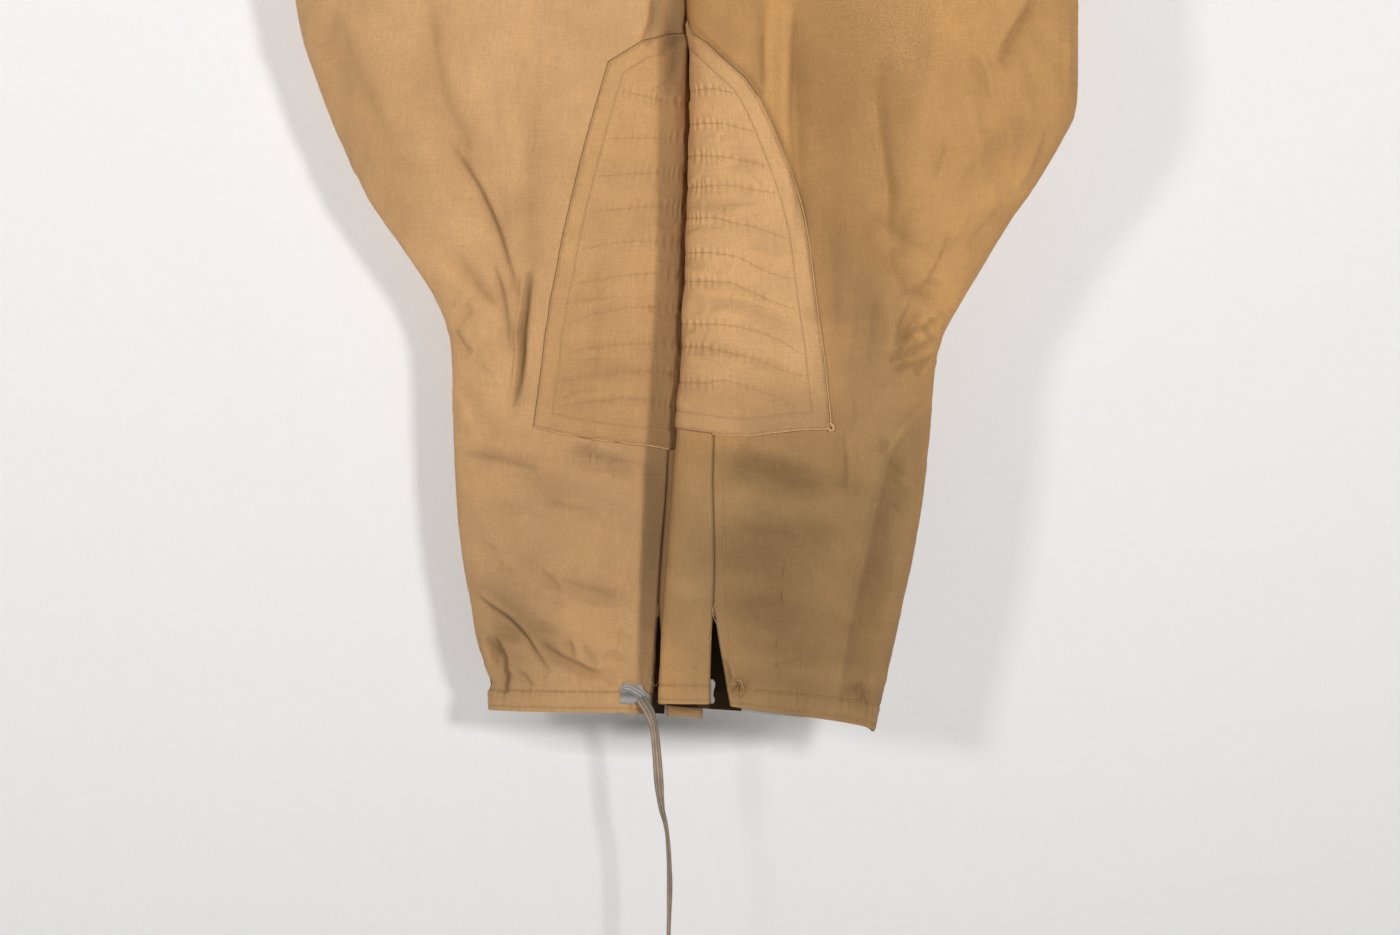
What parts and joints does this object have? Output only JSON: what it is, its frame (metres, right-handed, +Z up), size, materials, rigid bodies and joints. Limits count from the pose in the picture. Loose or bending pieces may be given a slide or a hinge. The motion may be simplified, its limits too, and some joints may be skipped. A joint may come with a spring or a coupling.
{
  "type": "riding breeches",
  "caption": "Tan cotton breeches with wide flared thighs, close calves, quilted knee patches, slit ankles and a hem drawstring, hanging hollow from the waist.",
  "frame": {"origin": "centre of the waist opening, on the waistband's top edge", "axes": "+Z up, front of the garment towards -Y, wearer's left leg towards +X"},
  "size_m": [0.668, 0.1896, 1.22],
  "materials": {
    "cloth_right": "tan cotton twill",
    "cloth_left": "tan cotton twill, darker on the calf",
    "cloth_patch": "tan cotton twill, quilted",
    "facing": "grey-white plain cotton",
    "tape": "grey woven tape",
    "button": "satin brown"
  },
  "bodies": {
    "root": {"left_front": "cloth_left", "left_back_seat": "cloth_left", "left_back_thigh": "cloth_left", "left_back_knee": "cloth_left", "left_back_upper_calf": "cloth_left", "left_back_calf": "cloth_left", "right_front": "cloth_right", "right_back_seat": "cloth_right", "right_back_thigh": "cloth_right", "right_back_knee": "cloth_right", "right_back_upper_calf": "cloth_right", "right_back_calf": "cloth_right", "left_knee_patch": "cloth_patch", "right_knee_patch": "cloth_patch", "left_waistband": "cloth_left", "right_waistband": "cloth_right", "fly_underlap": "cloth_right", "left_front_hem_facing": "facing", "left_back_hem_facing": "facing", "right_back_hem_facing": "facing", "drawstring_fold": "tape", "drawstring": "tape", "waist_button": "button"}
  },
  "joints": []
}
